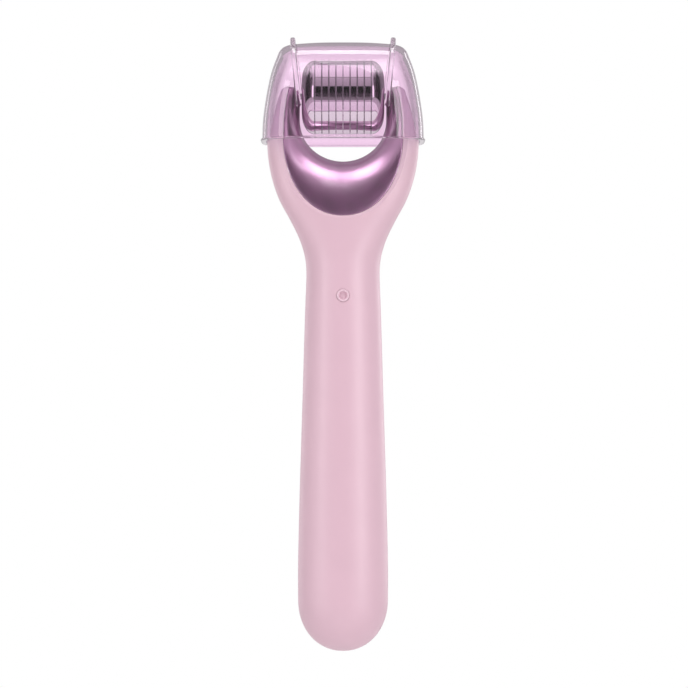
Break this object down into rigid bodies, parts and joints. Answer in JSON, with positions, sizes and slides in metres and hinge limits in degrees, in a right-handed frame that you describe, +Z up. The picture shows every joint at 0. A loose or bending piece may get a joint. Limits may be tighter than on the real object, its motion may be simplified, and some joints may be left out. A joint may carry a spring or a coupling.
{
  "type": "derma roller",
  "caption": "Handheld derma roller: forked handle with a spinning drum of needle discs, a clear pull-off cap and a vibration button.",
  "frame": {"origin": "the lowest point of the handle's rounded end, on its centre line", "axes": "+Z up the handle towards the roller head, -Y the front with the power button, +X along the roller's axle"},
  "size_m": [0.0414, 0.0306, 0.155],
  "materials": {
    "pink_soft_touch": "satin soft-touch",
    "lilac_plated": "vacuum-metallised, mirror-like",
    "bright_plated": "vacuum-metallised, bright",
    "clear_lilac": "clear, polished",
    "needle_steel": "bright",
    "axle_steel": "ground",
    "screw_steel": "plain",
    "motor_steel": "plain",
    "dark_plastic": "matt",
    "white_plastic": "matt",
    "board_green": "solder mask",
    "cell_wrap": "shrink wrap",
    "grey_rubber": "matt",
    "pink_rubber": "matt",
    "red_wire": "matt",
    "black_wire": "matt"
  },
  "bodies": {
    "handle": {"handle_front_shell": "pink_soft_touch", "handle_rear_shell": "pink_soft_touch", "fork_insert": "lilac_plated", "axle": "axle_steel", "axle_bush_left": "white_plastic", "axle_bush_right": "white_plastic", "tact_switch": "dark_plastic", "circuit_board": "board_green", "board_screw_upper": "screw_steel", "board_screw_lower": "screw_steel", "chassis": "white_plastic", "battery_cell": "cell_wrap", "battery_lead_red": "red_wire", "battery_lead_black": "black_wire", "motor_lead_red": "red_wire", "motor_lead_black": "black_wire", "motor_mount": "grey_rubber", "vibration_motor": "motor_steel", "charging_socket": "motor_steel", "port_cover": "pink_rubber"},
    "roller": {"roller_core": "white_plastic", "needle_disc_1": "needle_steel", "needle_disc_2": "needle_steel", "needle_disc_3": "needle_steel", "needle_disc_4": "needle_steel", "needle_disc_5": "needle_steel", "needle_disc_6": "needle_steel", "needle_disc_7": "needle_steel", "needle_disc_8": "needle_steel", "needle_disc_9": "needle_steel", "disc_spacer_1": "bright_plated", "disc_spacer_2": "bright_plated", "disc_spacer_3": "bright_plated", "disc_spacer_4": "bright_plated", "disc_spacer_5": "bright_plated", "disc_spacer_6": "bright_plated", "disc_spacer_7": "bright_plated", "disc_spacer_8": "bright_plated", "end_cap_left": "bright_plated", "end_cap_right": "bright_plated"},
    "cap": {"protective_cap": "clear_lilac"},
    "button": {"power_button": "pink_soft_touch"},
    "motor_rotor": {"eccentric_weight": "motor_steel"}
  },
  "joints": [
    {"name": "roller_spin", "type": "hinge", "parent": "handle", "child": "roller", "pos_m": [0, 0, 0.14], "axis": [1, 0, 0], "continuous": true},
    {"name": "cap_pull", "type": "slide", "parent": "handle", "child": "cap", "axis": [0, 0, 1], "range_m": [0, 0.045]},
    {"name": "button_press", "type": "slide", "parent": "handle", "child": "button", "axis": [0, 1, 0], "range_m": [0, 0.0004], "stiffness_N_per_m": 800, "springref_m": -0.0005},
    {"name": "rotor_spin", "type": "hinge", "parent": "handle", "child": "motor_rotor", "pos_m": [0, 0, 0.1056], "axis": [0, 0, 1], "continuous": true}
  ]
}
